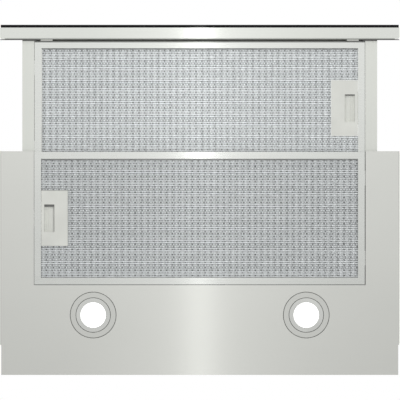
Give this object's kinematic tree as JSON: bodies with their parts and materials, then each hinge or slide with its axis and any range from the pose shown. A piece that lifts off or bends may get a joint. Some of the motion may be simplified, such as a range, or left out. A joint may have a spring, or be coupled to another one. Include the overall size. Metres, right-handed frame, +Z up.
{
  "type": "range hood",
  "caption": "Telescopic kitchen range hood with a pull-out drawer, expanded-mesh grease filters, round lamps, push keys and a blower with a flapped duct collar",
  "frame": {"origin": "centre of the four cabinet screw holes, on the top face of the deck plate", "axes": "X to the hood's right side as seen from the front, Y to the wall, Z up"},
  "size_m": [0.598, 0.5242, 0.2442],
  "materials": {
    "panel_silver": "satin silver paint on sheet steel",
    "zinc_steel": "zinc coated sheet",
    "rail_silver": "satin silver paint",
    "bar_silver": "satin anodised",
    "cap_grey": "fine moulded grain",
    "black_glass": "black backed glass",
    "black_plastic": "fine moulded grain",
    "shell_plastic": "moulded",
    "wheel_plastic": "moulded",
    "motor_metal": "rolled and lacquered",
    "bright_steel": "ground",
    "dark_rubber": "matt",
    "white_plastic": "moulded",
    "lamp_ring": "satin",
    "lamp_body": "cast, satin face",
    "lamp_lens": "frosted, lit",
    "filter_frame": "satin",
    "filter_mesh": "bright expanded metal",
    "filter_core": "layered expanded metal",
    "latch_grey": "silver grey moulding",
    "pale_buffer": "pale soft moulding",
    "key_plastic": "polished",
    "board_green": "lacquered board"
  },
  "bodies": {
    "housing": {"base_panel": "panel_silver", "deck_plate": "zinc_steel", "upper_casing": "zinc_steel", "runner_bracket_left": "zinc_steel", "runner_bracket_right": "zinc_steel", "runner_channel_left": "zinc_steel", "runner_channel_right": "zinc_steel", "flap_axle": "zinc_steel", "motor_carrier": "zinc_steel", "capacitor_clip": "zinc_steel", "outlet_collar": "black_plastic", "cable_gland": "black_plastic", "blower_shell_left": "shell_plastic", "blower_shell_right": "shell_plastic", "control_box": "shell_plastic", "control_box_cover": "shell_plastic", "motor_body": "motor_metal", "motor_grommets": "dark_rubber", "motor_capacitor": "white_plastic", "lamp_ring_left": "lamp_ring", "lamp_ring_right": "lamp_ring", "lamp_body_left": "lamp_body", "lamp_body_right": "lamp_body", "lamp_lens_left": "lamp_lens", "lamp_lens_right": "lamp_lens"},
    "impeller": {"impeller": "wheel_plastic", "motor_shaft": "bright_steel"},
    "flap_front": {"flap_front": "black_plastic"},
    "flap_rear": {"flap_rear": "black_plastic"},
    "drawer": {"drawer_rail_left": "rail_silver", "drawer_rail_right": "rail_silver", "drawer_rear_bar": "zinc_steel", "drawer_front_angle": "zinc_steel", "front_bar": "bar_silver", "bar_end_cap_left": "cap_grey", "bar_end_cap_right": "cap_grey", "front_glass": "black_glass", "bar_buffers": "pale_buffer", "key_board": "board_green", "runner_slide_left": "zinc_steel", "runner_slide_right": "zinc_steel", "runner_glides": "white_plastic", "front_filter_frame": "filter_frame", "front_filter_mesh": "filter_mesh", "front_filter_core": "filter_core", "front_latch_plate": "latch_grey", "front_latch_spring": "bright_steel"},
    "front_latch": {"front_latch_slider": "latch_grey"},
    "rear_filter": {"rear_filter_frame": "filter_frame", "rear_filter_mesh": "filter_mesh", "rear_filter_core": "filter_core", "rear_latch_plate": "latch_grey", "rear_latch_spring": "bright_steel"},
    "rear_latch": {"rear_latch_slider": "latch_grey"},
    "key_1": {"key_1": "key_plastic"},
    "key_2": {"key_2": "key_plastic"},
    "key_3": {"key_3": "key_plastic"},
    "key_4": {"key_4": "key_plastic"}
  },
  "joints": [
    {"name": "drawer_slide", "type": "slide", "parent": "housing", "child": "drawer", "axis": [0, -1, 0], "range_m": [-0.165, 0]},
    {"name": "impeller_spin", "type": "hinge", "parent": "housing", "child": "impeller", "pos_m": [0, -0.042, 0.084], "axis": [1, 0, 0], "continuous": true},
    {"name": "flap_front_swing", "type": "hinge", "parent": "housing", "child": "flap_front", "pos_m": [0, 0, 0.17], "axis": [-1, 0, 0], "range_deg": [0, 80]},
    {"name": "flap_rear_swing", "type": "hinge", "parent": "housing", "child": "flap_rear", "pos_m": [0, 0, 0.17], "axis": [1, 0, 0], "range_deg": [0, 80]},
    {"name": "rear_filter_swing", "type": "hinge", "parent": "housing", "child": "rear_filter", "pos_m": [0.2484, -0.0447, -0.03895], "axis": [0, -1, 0], "range_deg": [0, 20]},
    {"name": "rear_latch_slide", "type": "slide", "parent": "rear_filter", "child": "rear_latch", "axis": [1, 0, 0], "range_m": [0, 0.005], "stiffness_N_per_m": 400, "springref_m": -0.004, "deforming": ["rear_latch_spring"]},
    {"name": "front_latch_slide", "type": "slide", "parent": "drawer", "child": "front_latch", "axis": [-1, 0, 0], "range_m": [0, 0.005], "stiffness_N_per_m": 400, "springref_m": -0.004, "deforming": ["front_latch_spring"]},
    {"name": "key_1_press", "type": "slide", "parent": "drawer", "child": "key_1", "axis": [0, 1, 0], "range_m": [0, 0.0015], "stiffness_N_per_m": 600, "springref_m": -0.001},
    {"name": "key_2_press", "type": "slide", "parent": "drawer", "child": "key_2", "axis": [0, 1, 0], "range_m": [0, 0.0015], "stiffness_N_per_m": 600, "springref_m": -0.001},
    {"name": "key_3_press", "type": "slide", "parent": "drawer", "child": "key_3", "axis": [0, 1, 0], "range_m": [0, 0.0015], "stiffness_N_per_m": 600, "springref_m": -0.001},
    {"name": "key_4_press", "type": "slide", "parent": "drawer", "child": "key_4", "axis": [0, 1, 0], "range_m": [0, 0.0015], "stiffness_N_per_m": 600, "springref_m": -0.001}
  ]
}
